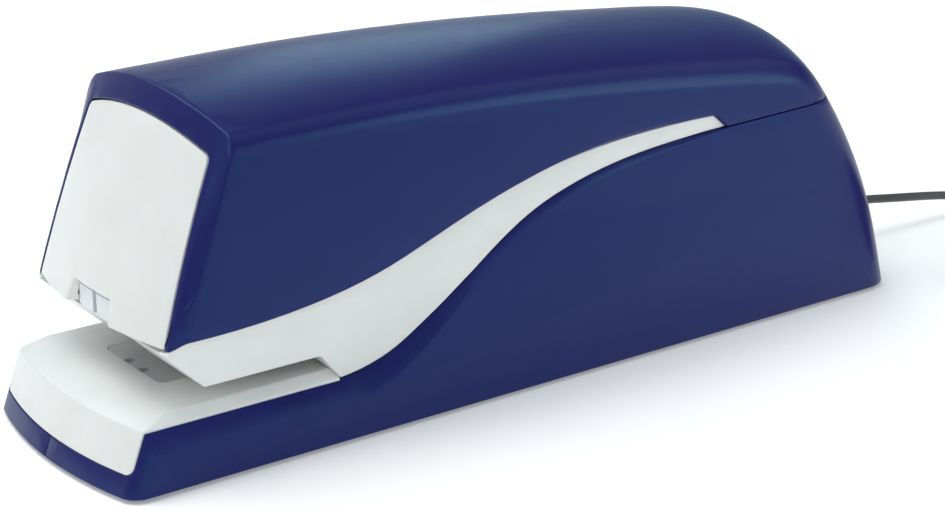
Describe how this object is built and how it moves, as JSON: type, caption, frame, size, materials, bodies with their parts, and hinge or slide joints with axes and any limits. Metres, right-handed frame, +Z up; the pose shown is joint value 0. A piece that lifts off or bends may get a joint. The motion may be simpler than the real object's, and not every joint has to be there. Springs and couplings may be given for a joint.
{
  "type": "electric stapler",
  "caption": "Desk electric stapler: blue two-shell body, light grey jaw band, sliding front door with staple cassette, cam-driven hammer, and a corded power adapter.",
  "frame": {"origin": "on the table, at the bottom centre of the stapler's bounding box without its power lead", "axes": "+Z up, -Y towards the throat and door, +Y towards the cord, X across"},
  "size_m": [0.11, 0.3509, 0.084],
  "materials": {
    "blue_housing": "satin-gloss moulded ABS",
    "light_grey_plastic": "fine satin moulded ABS",
    "cassette_plastic": "moulded acetal",
    "black_plastic": "moulded",
    "anvil_steel": "satin",
    "steel": "zinc plated",
    "bright_steel": "ground or plated",
    "gear_plastic": "acetal",
    "brass": "machined",
    "motor_steel": "plated can",
    "rubber": "matte",
    "cord_jacket": "flexible PVC",
    "board": "solder mask",
    "capacitor_sleeve": "sleeve"
  },
  "bodies": {
    "housing": {"adapter_body": "black_plastic", "adapter_pins": "bright_steel", "adapter_relief": "rubber", "anvil_plate": "anvil_steel", "arm_pivot_pin": "bright_steel", "base_plate": "light_grey_plastic", "base_plate_screws": "bright_steel", "board_posts": "black_plastic", "bottom_cover": "black_plastic", "capacitor": "capacitor_sleeve", "circuit_board": "board", "cord_coil": "cord_jacket", "cord_tie": "cord_jacket", "drawer_rails": "steel", "frame_screws": "bright_steel", "frame_spacers": "bright_steel", "gear_axles": "bright_steel", "gear_plate": "steel", "housing_screws": "bright_steel", "inner_lead": "cord_jacket", "lower_housing_left": "blue_housing", "lower_housing_right": "blue_housing", "mid_frame": "light_grey_plastic", "motor": "motor_steel", "motor_relay": "black_plastic", "motor_screws": "bright_steel", "paper_lever_pin": "bright_steel", "paper_switch": "black_plastic", "power_cord": "cord_jacket", "power_cord_end": "cord_jacket", "power_terminal": "black_plastic", "return_spring": "bright_steel", "rubber_feet": "rubber", "side_frame_left": "steel", "side_frame_right": "steel", "strain_relief": "rubber", "upper_cover": "blue_housing"},
    "drawer": {"front_door": "light_grey_plastic", "cassette_carrier": "light_grey_plastic", "staple_cassette": "cassette_plastic", "staple_strip": "bright_steel", "staple_pusher": "cassette_plastic", "pusher_spring": "bright_steel"},
    "driver": {"driver_blade": "steel"},
    "hammer": {"hammer_arm": "steel", "roller_pin": "bright_steel"},
    "roller": {"follower_roller": "bright_steel"},
    "cam": {"stapling_cam": "gear_plastic", "cam_gear": "gear_plastic", "cam_shaft": "bright_steel"},
    "gear_two": {"compound_gear_two": "gear_plastic"},
    "gear_one": {"compound_gear_one": "gear_plastic"},
    "motor_rotor": {"motor_shaft": "bright_steel", "motor_pinion": "brass"},
    "paper_lever": {"paper_lever": "black_plastic"}
  },
  "joints": [
    {"name": "drawer_slide", "type": "slide", "parent": "housing", "child": "drawer", "axis": [0, -1, 0], "range_m": [0, 0.042]},
    {"name": "driver_slide", "type": "slide", "parent": "drawer", "child": "driver", "axis": [0, 0, -1], "range_m": [0, 0.0121]},
    {"name": "cam_turn", "type": "hinge", "parent": "housing", "child": "cam", "pos_m": [0, 0.0007, 0.032], "axis": [1, 0, 0], "range_deg": [0, 170]},
    {"name": "hammer_swing", "type": "hinge", "parent": "housing", "child": "hammer", "pos_m": [0, -0.0343, 0.048], "axis": [1, 0, 0], "range_deg": [0, 11.3], "deforming": ["return_spring"]},
    {"name": "roller_spin", "type": "hinge", "parent": "hammer", "child": "roller", "pos_m": [0, 0.00053, 0.04459], "axis": [1, 0, 0], "continuous": true},
    {"name": "gear_two_turn", "type": "hinge", "parent": "housing", "child": "gear_two", "pos_m": [0, 0.02645, 0.02838], "axis": [1, 0, 0], "range_deg": [-567.67, 0]},
    {"name": "gear_one_turn", "type": "hinge", "parent": "housing", "child": "gear_one", "pos_m": [0, 0.0472, 0.02693], "axis": [1, 0, 0], "range_deg": [0, 1889.89]},
    {"name": "motor_turn", "type": "hinge", "parent": "housing", "child": "motor_rotor", "pos_m": [0, 0.0651, 0.02505], "axis": [1, 0, 0], "range_deg": [-7556.56, 0]},
    {"name": "paper_lever_swing", "type": "hinge", "parent": "housing", "child": "paper_lever", "pos_m": [0.02, -0.0733, 0.032], "axis": [1, 0, 0], "range_deg": [0, 28], "stiffness_Nm_per_rad": 0.002, "springref_deg": -11.46}
  ],
  "couplings": [
    {"joint": "driver_slide", "follows": "cam_turn", "m_per_rad": 0.0040444},
    {"joint": "hammer_swing", "follows": "cam_turn", "ratio": 0.065867},
    {"joint": "gear_two_turn", "follows": "cam_turn", "ratio": -3.3333},
    {"joint": "gear_one_turn", "follows": "cam_turn", "ratio": 11.111},
    {"joint": "motor_turn", "follows": "cam_turn", "ratio": -44.444}
  ]
}
